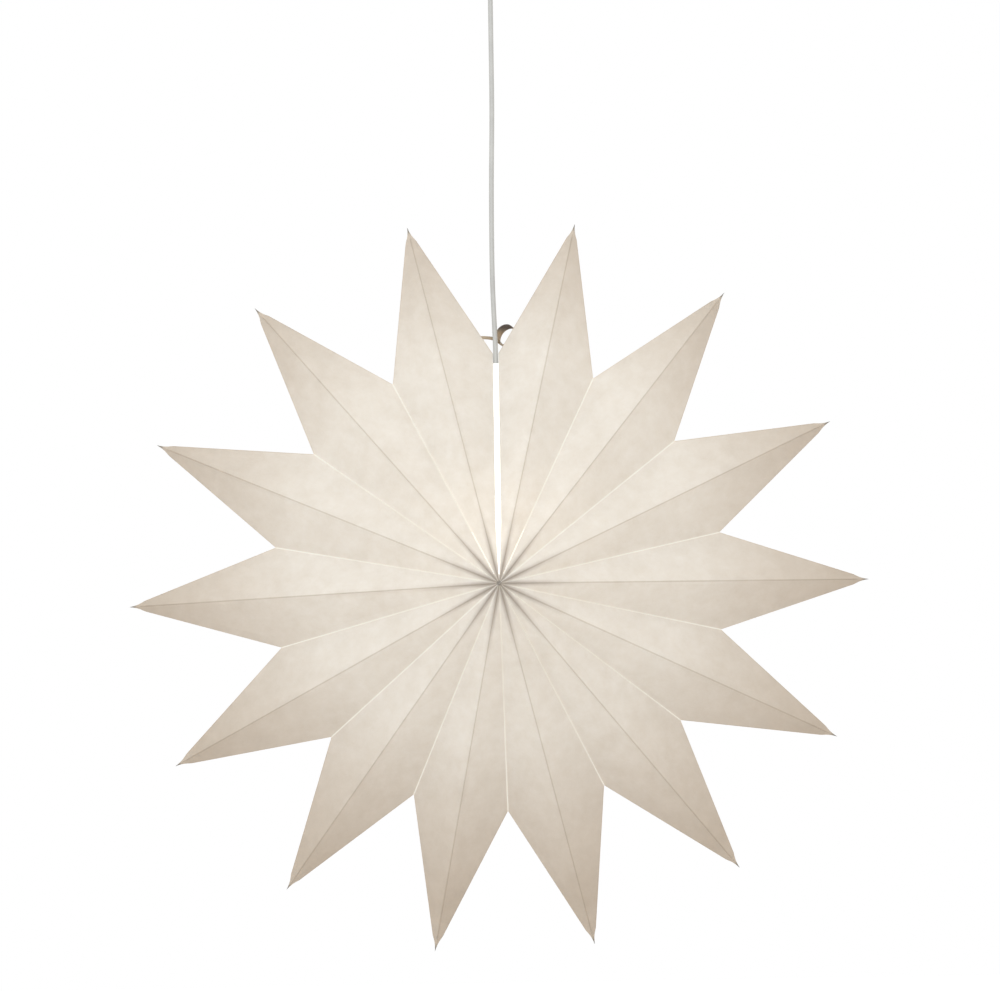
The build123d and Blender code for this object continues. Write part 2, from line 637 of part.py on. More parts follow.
save(connector_block.part, "connector_block")

with BuildPart() as connector_screws:
    for side in (-1, 1):
        screw_place = (
            connector_x + CONNECTOR_WIDTH / 2,
            side * CONNECTOR_DEPTH / 4,
            connector_z - CONNECTOR_HEIGHT / 2,
        )
        screw(Plane(screw_place, x_dir=(0, 1, 0), z_dir=(1, 0, 0)), CONNECTOR_WIDTH / 4)
save(connector_screws.part, "connector_screws")

# Ceiling cup: a round cover that slides on the cord and hides the hook and the connector.
cup_bottom = -CUP_GAP - CUP_HEIGHT
neck_bottom = cup_bottom - CUP_NECK_HEIGHT


def cup_rings(inset):
    """The rings of the cup, or of the hollow inside it."""
    corner = CUP_HEIGHT - CUP_SKIRT
    return [
        (CUP_RADIUS - inset, -CUP_GAP),
        *round_corner(CUP_RADIUS - corner, cup_bottom + corner, corner - inset, 0, -90, CUP_FLAT_COUNT),
    ]


with BuildPart() as ceiling_cup:
    through_rings(cup_rings(0))
    through_rings(cup_rings(CUP_WALL), Mode.SUBTRACT)
    through_rings(
        [
            (CUP_NECK_RADIUS, cup_bottom + CUP_WALL),
            (CUP_NECK_RADIUS, neck_bottom + CUP_NECK_EDGE),
            (CUP_NECK_RADIUS - CUP_NECK_EDGE, neck_bottom),
        ]
    )
    turned(BORE_RADIUS, -CUP_GAP, neck_bottom, Mode.SUBTRACT)
    with BuildSketch(Plane.XZ):
        with Locations((0, neck_bottom + CUP_NECK_HEIGHT / 2)):
            RegularPolygon(SCREW_RADIUS + BORE_CLEARANCE, SCREW_SIDE_COUNT)
    extrude(amount=CUP_NECK_RADIUS, mode=Mode.SUBTRACT)
save(ceiling_cup.part, "ceiling_cup")

# Grub screw, in the front of the cup's neck, which pinches the cord to hold the cup up.
with BuildPart() as cup_grub_screw:
    with BuildSketch(Plane.XZ.offset(CORD_RADIUS + BORE_CLEARANCE / 2)):
        with Locations((0, neck_bottom + CUP_NECK_HEIGHT / 2)):
            RegularPolygon(SCREW_RADIUS, SCREW_SIDE_COUNT)
    extrude(amount=CUP_NECK_RADIUS - CORD_RADIUS)
save(cup_grub_screw.part, "cup_grub_screw")

# Cord: straight, from the hanger's mouth down through the cup and the lampholder's neck to the clamp.
cord_top = block_bottom + CORD_MOUTH - FIT
cord_bottom = clamp_bottom - CORD_TAIL + FIT
with BuildPart() as cord:
    turned(CORD_RADIUS, cord_top, cord_bottom)
save(cord.part, "cord")

cord_length = cord_top - cord_bottom
tube_volume = pi * CORD_RADIUS**2 * cord_length
print(f"cord: {cord_length:.1f} long, straight, volume {cord.part.volume / tube_volume:.4f} of its tube")
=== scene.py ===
# %% [markdown]
# # A fold-out paper star on a lamp cord
#
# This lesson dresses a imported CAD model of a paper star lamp. The star is one long strip of white paper,
# folded and glued into fourteen hollow points. It is stored flat and opens like a fan, and its two ends meet
# at the top, on either side of a grey lamp cord. A bulb in a lampholder shines through the paper.
#
# Everything is in metres. The origin is where the ceiling plate meets the ceiling, +Z is up, and the front of
# the star faces -Y. The first cell loads the CAD model, which is the frame that every new piece has to fit.

# %% Load the frame
from math import atan2, cos, degrees, hypot, pi, radians, sin

import bmesh
import bpy
from mathutils import Matrix, Vector, noise


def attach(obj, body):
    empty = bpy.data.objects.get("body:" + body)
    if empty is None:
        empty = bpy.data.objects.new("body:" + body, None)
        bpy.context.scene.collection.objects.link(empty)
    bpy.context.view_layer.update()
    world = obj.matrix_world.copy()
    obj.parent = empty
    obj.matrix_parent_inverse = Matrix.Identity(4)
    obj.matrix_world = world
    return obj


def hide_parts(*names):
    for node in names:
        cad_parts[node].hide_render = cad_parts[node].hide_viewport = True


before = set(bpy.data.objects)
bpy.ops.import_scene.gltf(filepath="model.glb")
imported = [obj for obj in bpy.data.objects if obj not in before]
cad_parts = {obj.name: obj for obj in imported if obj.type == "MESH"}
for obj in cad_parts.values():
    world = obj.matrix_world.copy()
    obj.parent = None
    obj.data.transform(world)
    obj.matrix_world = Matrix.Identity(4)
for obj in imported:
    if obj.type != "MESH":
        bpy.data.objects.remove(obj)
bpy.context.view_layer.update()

# %% [markdown]
# ## Camera
#
# The photograph was taken from straight in front, with the camera rolled a little, so that the cord leans to
# the left. The position was found by fitting the fourteen tips and thirteen notches of the star. A lens of
# 70 mm from 2 m away keeps the perspective that the front peak shows.

# %% Camera
MM = 0.001
CENTRE_Z = -0.690
CAMERA_PLACE = (-0.0035, -2.0, CENTRE_Z - 0.0035)
CAMERA_AIM = (0.0022, 0, CENTRE_Z + 0.0852)
CAMERA_ROLL = 0.0151
SENSOR_WIDTH = 36
IMAGE_PIXELS = 1000
FOCAL_PIXELS = 1957

camera = bpy.data.objects.new("camera", bpy.data.cameras.new("camera"))
bpy.context.scene.collection.objects.link(camera)
bpy.context.scene.camera = camera
camera.data.sensor_width = SENSOR_WIDTH
camera.data.lens = SENSOR_WIDTH * FOCAL_PIXELS / IMAGE_PIXELS
camera.data.clip_start = 0.05
camera.data.clip_end = 50
camera.location = CAMERA_PLACE
forward = (Vector(CAMERA_AIM) - camera.location).normalized()
rolled_up = Vector((sin(CAMERA_ROLL), 0, cos(CAMERA_ROLL)))
right = forward.cross(rolled_up).normalized()
camera.rotation_euler = Matrix((right, right.cross(forward), -forward)).transposed().to_euler()
print("lens", round(camera.data.lens, 2), "mm")

# %% [markdown]
# ## Cord
#
# The lamp cord is round, 5 mm thick, and held straight by the star's weight. It still keeps a faint bend from
# the packing, 2 mm to the left half-way down, so it is a NURBS curve with its points moved by that much. It
# is straight where the ceiling cup slides and where the star turns round it. The curve goes from the hanger
# under the ceiling down to the clamp in the lampholder, as the CAD cord does.

# %% Cord
CORD_RADIUS = 2.5 * MM
CORD_TOP = -44.8 * MM
CORD_BOTTOM = -556.4 * MM


def curve_piece(name, points, radius):
    """A tube along one smooth NURBS spline."""
    data = bpy.data.curves.new(name, "CURVE")
    data.dimensions = "3D"
    data.bevel_depth = 1
    data.bevel_resolution = 8
    data.resolution_u = 24
    data.use_fill_caps = True
    spline = data.splines.new("NURBS")
    spline.points.add(len(points) - 1)
    for point, place in zip(spline.points, points):
        point.co = (*place, 1)
        point.radius = radius
    spline.order_u = 3
    spline.use_endpoint_u = True
    piece = bpy.data.objects.new(name, data)
    bpy.context.scene.collection.objects.link(piece)
    return piece


cord_route = [
    (0, 0, CORD_TOP),
    (0, 0, -0.150),
    (0, 0, -0.205),
    (-1.8 * MM, 0, -0.275),
    (-2.4 * MM, 0, -0.340),
    (-2.2 * MM, 0, -0.385),
    (-0.8 * MM, 0, -0.425),
    (0, 0, -0.452),
    (0, 0, -0.530),
    (0, 0, CORD_BOTTOM),
]
cord = curve_piece("lamp_cord", cord_route, CORD_RADIUS)
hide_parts("cord")
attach(cord, "cord_and_lampholder")
print("cord", round(CORD_TOP - CORD_BOTTOM, 4), "m long")

# %% [markdown]
# ## Light
#
# The photograph has soft light from the upper left, a white background, and a weak warm light inside the
# star. The world gives even light from all sides. It looks white to the camera, and to glossy and clear
# surfaces, but lights the object a little warmer and weaker than that, so that white paper keeps its shading.
# Two large lamps, which are a little blue, balance the world's warmth. The one on the left gives the left
# faces their lead over the right ones. The other, in front and above, is near enough for the upper points to
# be brighter than the lower ones.

# %% Light
WORLD_STRENGTH = 0.97
WORLD_COLOR = (1, 0.955, 0.89)
KEY_PLACE = (-1.6, -1.3, CENTRE_Z + 0.3)
KEY_SIZE = 1.0
KEY_ENERGY = 3.2
KEY_COLOR = (0.75, 0.89, 1)
TOP_PLACE = (-0.1, -1.35, CENTRE_Z + 0.7)
TOP_SIZE = 0.9
TOP_AIM_RISE = 0.1
TOP_ENERGY = 6.6
TOP_COLOR = (0.82, 0.93, 1)

world = bpy.data.worlds.new("studio")
bpy.context.scene.world = world
world.use_nodes = True
world_nodes = world.node_tree.nodes
world_links = world.node_tree.links
soft_light = world_nodes["Background"]
soft_light.inputs["Color"].default_value = (*WORLD_COLOR, 1)
soft_light.inputs["Strength"].default_value = WORLD_STRENGTH
seen_white = world_nodes.new("ShaderNodeBackground")
seen_white.inputs["Color"].default_value = (1, 1, 1, 1)
seen_white.inputs["Strength"].default_value = 1
light_path = world_nodes.new("ShaderNodeLightPath")
camera_or_gloss = world_nodes.new("ShaderNodeMath")
camera_or_gloss.operation = "MAXIMUM"
world_links.new(light_path.outputs["Is Camera Ray"], camera_or_gloss.inputs[0])
world_links.new(light_path.outputs["Is Glossy Ray"], camera_or_gloss.inputs[1])
any_seen = world_nodes.new("ShaderNodeMath")
any_seen.operation = "MAXIMUM"
world_links.new(camera_or_gloss.outputs[0], any_seen.inputs[0])
world_links.new(light_path.outputs["Is Transmission Ray"], any_seen.inputs[1])
world_mix = world_nodes.new("ShaderNodeMixShader")
world_links.new(any_seen.outputs[0], world_mix.inputs["Fac"])
world_links.new(soft_light.outputs[0], world_mix.inputs[1])
world_links.new(seen_white.outputs[0], world_mix.inputs[2])
world_links.new(world_mix.outputs[0], world_nodes["World Output"].inputs["Surface"])


def area_lamp(name, place, aim, size, energy, color):
    """A square soft lamp at a place, pointed at another."""
    data = bpy.data.lights.new(name, "AREA")
    data.size = size
    data.energy = energy
    data.color = color
    lamp = bpy.data.objects.new(name, data)
    lamp.location = place
    lamp.rotation_euler = (aim - Vector(place)).to_track_quat("-Z", "Y").to_euler()
    bpy.context.scene.collection.objects.link(lamp)


star_centre = Vector((0, 0, CENTRE_Z))
above_centre = star_centre + Vector((0, 0, TOP_AIM_RISE))
area_lamp("key_lamp", KEY_PLACE, star_centre, KEY_SIZE, KEY_ENERGY, KEY_COLOR)
area_lamp("top_lamp", TOP_PLACE, above_centre, TOP_SIZE, TOP_ENERGY, TOP_COLOR)
print("world", WORLD_STRENGTH, "key", KEY_ENERGY, "top", TOP_ENERGY)

# %% [markdown]
# ## Materials
#
# Each finish is a small node tree on object coordinates, so that it keeps its scale in every view. The
# helpers make a cloudy pattern at a chosen scale, a ramp between two colours, and a relief from a pattern.

# %% Material helpers


def blank_material(name):
    """A new node material, with its node tree's parts."""
    material = bpy.data.materials.new(name)
    material.use_nodes = True
    tree = material.node_tree
    return material, tree.nodes, tree.links, tree.nodes["Principled BSDF"]


def cloud(nodes, links, scale, detail=3.0, roughness=0.5, stretch=(1, 1, 1)):
    """A noise pattern on object coordinates, stretched along its axes."""
    place = nodes.new("ShaderNodeTexCoord")
    mapping = nodes.new("ShaderNodeMapping")
    mapping.inputs["Scale"].default_value = stretch
    pattern = nodes.new("ShaderNodeTexNoise")
    pattern.inputs["Scale"].default_value = scale
    pattern.inputs["Detail"].default_value = detail
    pattern.inputs["Roughness"].default_value = roughness
    links.new(place.outputs["Object"], mapping.inputs["Vector"])
    links.new(mapping.outputs["Vector"], pattern.inputs["Vector"])
    return pattern.outputs["Fac"]


def ramp(nodes, links, value, low, high, start=0.3, end=0.7):
    """Colours from low to high as the value goes from start to end."""
    node = nodes.new("ShaderNodeValToRGB")
    node.color_ramp.elements[0].position = start
    node.color_ramp.elements[0].color = (*low, 1)
    node.color_ramp.elements[1].position = end
    node.color_ramp.elements[1].color = (*high, 1)
    links.new(value, node.inputs["Fac"])
    return node.outputs["Color"]


def bump(nodes, links, value, distance, strength, shader):
    """Raises the surface by a pattern, and gives the new normal for other shaders."""
    node = nodes.new("ShaderNodeBump")
    node.inputs["Distance"].default_value = distance
    node.inputs["Strength"].default_value = strength
    links.new(value, node.inputs["Height"])
    links.new(node.outputs["Normal"], shader.inputs["Normal"])
    return node.outputs["Normal"]


TINT_SCALE = 35
GLOSS_SPREAD = 0.06
GRAIN_HEIGHT = 0.05 * MM


def plain_finish(name, low, high, rough, metallic=0.0, grain=400, relief=0.03, coat=0.0):
    """A moulded or metal surface: two near colours in clouds, and a fine grain in relief and gloss."""
    material, nodes, links, shader = blank_material(name)
    links.new(ramp(nodes, links, cloud(nodes, links, TINT_SCALE), low, high), shader.inputs["Base Color"])
    fine = cloud(nodes, links, grain, detail=4)
    gloss = nodes.new("ShaderNodeMapRange")
    gloss.inputs["To Min"].default_value = rough - GLOSS_SPREAD
    gloss.inputs["To Max"].default_value = rough + GLOSS_SPREAD
    links.new(fine, gloss.inputs["Value"])
    links.new(gloss.outputs["Result"], shader.inputs["Roughness"])
    shader.inputs["Metallic"].default_value = metallic
    shader.inputs["Coat Weight"].default_value = coat
    bump(nodes, links, fine, GRAIN_HEIGHT, relief, shader)
    return material


def dress(piece, material):
    """Gives a piece one material."""
    piece.data.materials.clear()
    piece.data.materials.append(material)


# %% [markdown]
# ## Paper
#
# The paper is white, matt and a little cloudy when light comes through it, so the shader mixes a diffuse
# surface with a translucent one, nearly half and half. Each vertex knows its distance from the nearest ridge,
# rim and valley fold, from the tip and from the peak, in five attributes, and the colour changes by them.
# Ridges and rims take a thin darker line. The valleys, where light leaks out between two flaps, have painted
# light: a lighter colour and a faint glow of their own. A wider painted shade lies along the ridges near the
# centre. The end of each tip is a dark spike, and a small painted shadow sits at the peak. Away from the bulb
# the paper's colour takes painted shade, warmer and darker, as the bulb's light gets weaker.

# %% Fold lines
RIDGE_WIDTH = 1.3 * MM
RIM_WIDTH = 1.2 * MM
VALLEY_WIDTH = 1.2 * MM
# Painted shade beside the ridges, near the centre.
PAINTED_RIDGE_SHADE_WIDTH = 5 * MM
INNER_REACH = 90 * MM
# Painted shadow at the peak, where the panels meet.
PEAK_SHADOW_RADIUS = 2.0 * MM
# Painted light: the paper's own faint glow along the valleys.
PAINTED_VALLEY_GLOW = 0.09
GLOW_CENTRE_Z = -0.650
SPIKE_LENGTH = 9 * MM
# Painted shade: the paper warmer and darker where the bulb's light is weaker, towards the tips.
PAINTED_FALLOFF_RANGE = (0.20, 0.37)
PAINTED_FALLOFF_TINT = (0.81, 0.755, 0.69)
RIDGE_TINT = (0.80, 0.77, 0.73)
RIM_TINT = (0.84, 0.78, 0.70)
SPIKE_TINT = (0.25, 0.24, 0.23)
# Colour of the painted light at the valleys and of the paper's painted glow.
PAINTED_LIGHT_COLOR = (1.0, 0.985, 0.93)
PAINTED_RIDGE_SHADE_TINT = (0.68, 0.64, 0.61)
PEAK_SHADOW_TINT = (0.30, 0.28, 0.28)


def fold_line(nodes, links, attribute, width):
    """1 on a fold and 0 beyond its width."""
    distance = nodes.new("ShaderNodeAttribute")
    distance.attribute_name = attribute
    line = nodes.new("ShaderNodeMapRange")
    line.interpolation_type = "SMOOTHSTEP"
    line.inputs["From Min"].default_value = 0
    line.inputs["From Max"].default_value = width
    line.inputs["To Min"].default_value = 1
    line.inputs["To Max"].default_value = 0
    links.new(distance.outputs["Fac"], line.inputs["Value"])
    return line.outputs["Result"]


def product(nodes, links, first, second):
    """Two factors multiplied."""
    node = nodes.new("ShaderNodeMath")
    node.operation = "MULTIPLY"
    links.new(first, node.inputs[0])
    links.new(second, node.inputs[1])
    return node.outputs[0]


def tinted(nodes, links, factor, base, tint, strength, way="MULTIPLY"):
    """Multiplies a colour by a tint, or mixes the tint in, as far as the factor says."""
    amount = nodes.new("ShaderNodeMath")
    amount.operation = "MULTIPLY"
    amount.inputs[1].default_value = strength
    links.new(factor, amount.inputs[0])
    mix = nodes.new("ShaderNodeMix")
    mix.data_type = "RGBA"
    mix.blend_type = way
    mix.inputs["B"].default_value = (*tint, 1)
    links.new(amount.outputs[0], mix.inputs["Factor"])
    links.new(base, mix.inputs["A"])
    return mix.outputs["Result"]


def far_out(nodes, links, start, end):
    """0 at one distance from the middle of the bulb and 1 at another."""
    place = nodes.new("ShaderNodeTexCoord")
    centred = nodes.new("ShaderNodeMapping")
    centred.inputs["Location"].default_value = (0, 0, -GLOW_CENTRE_Z)
    distance = nodes.new("ShaderNodeVectorMath")
    distance.operation = "LENGTH"
    share = nodes.new("ShaderNodeMapRange")
    share.inputs["From Min"].default_value = start
    share.inputs["From Max"].default_value = end
    links.new(place.outputs["Object"], centred.inputs["Vector"])
    links.new(centred.outputs["Vector"], distance.inputs[0])
    links.new(distance.outputs["Value"], share.inputs["Value"])
    return share.outputs["Result"]


FOLD_LINES = (
    ("from_ridge", RIDGE_WIDTH, RIDGE_TINT, 0.9),
    ("from_rim", RIM_WIDTH, RIM_TINT, 0.8),
    ("from_tip", SPIKE_LENGTH, SPIKE_TINT, 1),
    ("from_peak", 2 * PEAK_SHADOW_RADIUS, PEAK_SHADOW_TINT, 1),
)


def folded_colour(nodes, links, colour):
    """The paper's colour with its fold lines and painted light and shade, from the centre to the tips."""
    # Painted shade away from the bulb, painted light at the valleys, painted shade beside the ridges.
    painted_falloff = far_out(nodes, links, *PAINTED_FALLOFF_RANGE)
    colour = tinted(nodes, links, painted_falloff, colour, PAINTED_FALLOFF_TINT, 1)
    valley = fold_line(nodes, links, "from_valley", VALLEY_WIDTH)
    colour = tinted(nodes, links, valley, colour, PAINTED_LIGHT_COLOR, 0.8, way="MIX")
    near_centre = fold_line(nodes, links, "from_peak", INNER_REACH)
    beside_ridge = fold_line(nodes, links, "from_ridge", PAINTED_RIDGE_SHADE_WIDTH)
    painted_ridge_shade = product(nodes, links, near_centre, beside_ridge)
    colour = tinted(nodes, links, painted_ridge_shade, colour, PAINTED_RIDGE_SHADE_TINT, 1)
    for attribute, width, tint, strength in FOLD_LINES:
        line = fold_line(nodes, links, attribute, width)
        colour = tinted(nodes, links, line, colour, tint, strength)
    return colour


print(len(FOLD_LINES), "thin lines, a soft shade and a light valley on each panel")

# %% Paper materials
MOTTLE_SCALE = 55
FIBRE_SCALE = 700
FIBRE_HEIGHT = 0.12 * MM
PAPER_LOW = (0.885, 0.862, 0.828)
PAPER_HIGH = (0.955, 0.94, 0.915)


def paper_material(name, through_share, glow_low, glow_high, folded=True, painted_glow=0.0):
    """White paper, which reflects part of the light and lets part of it through."""
    material, nodes, links, shader = blank_material(name)
    mottled = cloud(nodes, links, MOTTLE_SCALE, detail=8, roughness=0.75)
    face = ramp(nodes, links, mottled, PAPER_LOW, PAPER_HIGH)
    # Painted light: the paper glows by itself, along the valleys or, for a strip, all over.
    shader.inputs["Emission Color"].default_value = (*PAINTED_LIGHT_COLOR, 1)
    if folded:
        face = folded_colour(nodes, links, face)
        painted_valley_glow = nodes.new("ShaderNodeMath")
        painted_valley_glow.operation = "MULTIPLY"
        painted_valley_glow.inputs[1].default_value = PAINTED_VALLEY_GLOW / (1 - through_share)
        links.new(fold_line(nodes, links, "from_valley", VALLEY_WIDTH), painted_valley_glow.inputs[0])
        links.new(painted_valley_glow.outputs[0], shader.inputs["Emission Strength"])
    else:
        shader.inputs["Emission Strength"].default_value = painted_glow / (1 - through_share)
    links.new(face, shader.inputs["Base Color"])
    shader.inputs["Roughness"].default_value = 0.85
    shader.inputs["Specular IOR Level"].default_value = 0.2
    fibres = cloud(nodes, links, FIBRE_SCALE, detail=5, roughness=0.65)
    relief = bump(nodes, links, fibres, FIBRE_HEIGHT, 0.3, shader)
    through = nodes.new("ShaderNodeBsdfTranslucent")
    glow = ramp(nodes, links, mottled, glow_low, glow_high)
    if folded:
        glow = folded_colour(nodes, links, glow)
    links.new(glow, through.inputs["Color"])
    links.new(relief, through.inputs["Normal"])
    show_through(nodes, links, shader, through, through_share)
    return material


def show_through(nodes, links, shader, through, share):
    """Mixes a surface with the light that comes through it, and makes the mix the material's surface."""
    sheet = nodes.new("ShaderNodeMixShader")
    sheet.inputs["Fac"].default_value = share
    links.new(shader.outputs[0], sheet.inputs[1])
    links.new(through.outputs[0], sheet.inputs[2])
    links.new(sheet.outputs[0], nodes["Material Output"].inputs["Surface"])


white_paper = paper_material("white_paper", 0.45, (0.90, 0.83, 0.73), (0.99, 0.945, 0.89))
# The strip's paper has a painted glow of its own.
strip_paper = paper_material(
    "thin_strip_paper",
    through_share=0.6,
    glow_low=(0.97, 0.965, 0.95),
    glow_high=(0.99, 0.985, 0.975),
    folded=False,
    painted_glow=0.6,
)
print("paper with", len(white_paper.node_tree.nodes), "nodes")

# %% [markdown]
# ## Paper points
#
# Seen from the front a point is a kite, and its ridge rises from the tip to the peak in the star's middle.
# The real one is a single folded sheet: two panels at the front, two at the back, joined at the rim, with a
# narrow flap at each valley that is glued to the next point. It is made the same way here. Five corners and
# four panels are drawn, cut finer, pinched at the tip, given the faint waves of real paper, and trimmed to
# leave a hair's gap for the glue. The trimmed edges are then extruded inwards as flaps, and a Solidify
# modifier gives the sheet its thickness.

# %% Star dimensions
TIP_RADIUS = 0.378
NOTCH_RADIUS = 0.231
HALF_DEPTH = 0.085
PAPER = 0.3 * MM
FLAP_WIDTH = 10 * MM
GLUE_GAP = 0.2 * MM
SEAM_HALF = 2.8 * MM
SEAM_TAPER = 0.062
POINT_SPREADS = (25.5, 26.25, 26, 24.75, 25.25, 25.5, 25.25, 24.25, 25.5, 26, 25.5, 25.75, 27, 27.25)
POINT_COUNT = len(POINT_SPREADS)


def star_place(distance, clockwise, depth=0.0):
    """A point by its distance from the star's centre, its angle clockwise from the top, and its depth."""
    return Vector((distance * sin(clockwise), depth, CENTRE_Z + distance * cos(clockwise)))


point_starts = [0.0]
for spread in POINT_SPREADS:
    point_starts.append(point_starts[-1] + 2 * pi * spread / sum(POINT_SPREADS))
print("each point spans", round(degrees(point_starts[1]), 1), "degrees or so")

# %% Panels of one point
PANEL_CUTS = 4
CUT_TOLERANCE = 1e-7
SAME_PLACE = 1e-6


def kite_panels(peaks, tip, notches):
    """Four flat panels between the tip, two peaks and two notches, in small faces that look outwards."""
    bm = bmesh.new()
    peak_corners = [bm.verts.new(place) for place in peaks]
    tip_corner = bm.verts.new(tip)
    notch_corners = [bm.verts.new(place) for place in notches]
    for peak_corner in peak_corners:
        for notch_corner in notch_corners:
            bm.faces.new((peak_corner, tip_corner, notch_corner))
    bmesh.ops.recalc_face_normals(bm, faces=bm.faces[:])
    if sum(f.normal.dot(f.calc_center_median() - star_centre) for f in bm.faces) < 0:
        bmesh.ops.reverse_faces(bm, faces=bm.faces[:])
    for _ in range(PANEL_CUTS):
        bmesh.ops.subdivide_edges(bm, edges=bm.edges[:], cuts=1, use_grid_fill=True)
    return bm


def cut(bm, point, normal, remove):
    """Cuts a mesh with a plane, and takes away what is on the plane's far side if remove is true."""
    bmesh.ops.bisect_plane(
        bm,
        geom=bm.verts[:] + bm.edges[:] + bm.faces[:],
        dist=CUT_TOLERANCE,
        plane_co=point,
        plane_no=normal,
        clear_outer=remove,
    )


print("each panel is halved", PANEL_CUTS, "times")

# %% Spike at the tip
SPIKE_CUTS = (16 * MM, 11 * MM, 7 * MM, 3.5 * MM)
SPIKE_PINCH = 0.3


def pinch_tip(bm, tip):
    """Draws the last of the tip together, where the four panels meet in a thin spike."""
    outward = (tip - star_centre).normalized()
    for back in SPIKE_CUTS:
        cut(bm, tip - outward * back, outward, False)
    spike_start = SPIKE_CUTS[0]
    for v in bm.verts:
        back = (tip - v.co).dot(outward)
        if back < spike_start:
            middle = tip - outward * back
            v.co = middle + (v.co - middle) * (SPIKE_PINCH + (1 - SPIKE_PINCH) * back / spike_start)


print("the last", round(SPIKE_CUTS[0] / MM), "mm of each tip is a spike")

# %% Distances from the folds
FOLD_NAMES = ("from_ridge", "from_rim", "from_valley", "from_tip", "from_peak")


def distance_to_line(place, start, end):
    """How far a place is from the straight line through two others."""
    along = (end - start).normalized()
    return (place - start).cross(along).length


def measure_folds(bm, peaks, tip, notches):
    """Writes into each vertex how far it is from the folds, the tip and the peak on its own side."""
    layers = {name: bm.verts.layers.float.new(name) for name in FOLD_NAMES}
    for v in bm.verts:
        peak = peaks[0] if v.co.y < 0 else peaks[1]
        near = notches[0] if (v.co - notches[0]).length < (v.co - notches[1]).length else notches[1]
        v[layers["from_ridge"]] = distance_to_line(v.co, peak, tip)
        v[layers["from_rim"]] = distance_to_line(v.co, near, tip)
        v[layers["from_valley"]] = distance_to_line(v.co, peak, near)
        v[layers["from_tip"]] = (tip - v.co).length
        v[layers["from_peak"]] = (peak - v.co).length
    return layers


print(len(FOLD_NAMES), "distances in each vertex")

# %% Waves of the paper
WAVE_SIZE = 0.11
WAVE_HEIGHT = 1.1 * MM
WAVE_EDGE = 12 * MM


def add_waves(bm, layers, number):
    """Moves the panels in and out a little, and not at all at the folds."""
    bm.normal_update()
    for v in bm.verts:
        inside = v[layers["from_ridge"]] * v[layers["from_rim"]] * v[layers["from_valley"]] / WAVE_EDGE**3
        wave = noise.noise(v.co / WAVE_SIZE + Vector((number, 0, 0)))
        v.co += v.normal * wave * WAVE_HEIGHT * min(1, inside)


print("waves up to", round(WAVE_HEIGHT / MM, 1), "mm high")

# %% Sides, seam and flaps
SEAM_SIDES = {1: 1, POINT_COUNT: -1}
FLAP_SCALE = 1 - FLAP_WIDTH * hypot(1 / HALF_DEPTH, 1 / NOTCH_RADIUS)
FLAP_LEAN = 0.05


def side_way(side, angle):
    """The way out of a point through a side: -1 is the side where it starts, and 1 where it ends."""
    return Vector((cos(angle), 0, -sin(angle))) * side


def trim_seam(bm, seam_side):
    """Cuts the slot of the seam, which gets narrower towards the peak."""
    cut(bm, Vector((seam_side * SEAM_HALF, 0, 0)), Vector((-seam_side, 0, 0)), False)
    lean = Vector((-SEAM_TAPER * seam_side, 0, SEAM_HALF)).normalized()
    cut(bm, star_centre, lean, False)
    gone = []
    for f in bm.faces:
        middle = f.calc_center_median()
        if seam_side * middle.x < SEAM_HALF and (middle - star_centre).dot(lean) > 0:
            gone.append(f)
    bmesh.ops.delete(bm, geom=gone, context="FACES")


def new_corners(grown):
    """The vertices among what an extrusion made."""
    return [g for g in grown if isinstance(g, bmesh.types.BMVert)]


def add_flap(bm, layers, out):
    """Extrudes the edges of one trimmed side towards the star's centre, as a narrow flap."""
    edges = []
    for e in bm.edges:
        off_side = [abs((v.co - star_centre).dot(out) + GLUE_GAP / 2) for v in e.verts]
        if e.is_boundary and max(off_side) < SAME_PLACE:
            edges.append(e)
    moved = new_corners(bmesh.ops.extrude_edge_only(bm, edges=edges)["geom"])
    bmesh.ops.scale(bm, vec=(FLAP_SCALE,) * 3, space=Matrix.Translation(-star_centre), verts=moved)
    for v in moved:
        for layer in layers.values():
            v[layer] = FLAP_WIDTH


def face_outwards(bm, layers, tip):
    """Turns each panel's face to the front or the back, and each flap's away from the ridges' plane."""
    bm.normal_update()
    ridge_way = (tip - star_centre).normalized()
    turned_in = []
    for f in bm.faces:
        middle = f.calc_center_median() - star_centre
        is_flap = all(v[layers["from_ridge"]] >= FLAP_WIDTH for v in f.verts) and abs(f.normal.y) < FLAP_LEAN
        away = middle - ridge_way * middle.dot(ridge_way) if is_flap else Vector((0, middle.y, 0))
        if f.normal.dot(away) < 0:
            turned_in.append(f)
    bmesh.ops.reverse_faces(bm, faces=turned_in)


print("flaps", round(FLAP_WIDTH / MM), "mm wide, seam", round(2 * SEAM_HALF / MM, 1), "mm wide")

# %% Fold every point


def mesh_piece(name, bm):
    """A new object from a finished bmesh."""
    mesh = bpy.data.meshes.new(name)
    bm.to_mesh(mesh)
    bm.free()
    piece = bpy.data.objects.new(name, mesh)
    bpy.context.scene.collection.objects.link(piece)
    return piece


def thicken(piece, thickness, offset):
    """Turns a sheet into a thin wall: all behind its surface at -1, and half to each side at 0."""
    wall = piece.modifiers.new("sheet thickness", "SOLIDIFY")
    wall.thickness = thickness
    wall.offset = offset


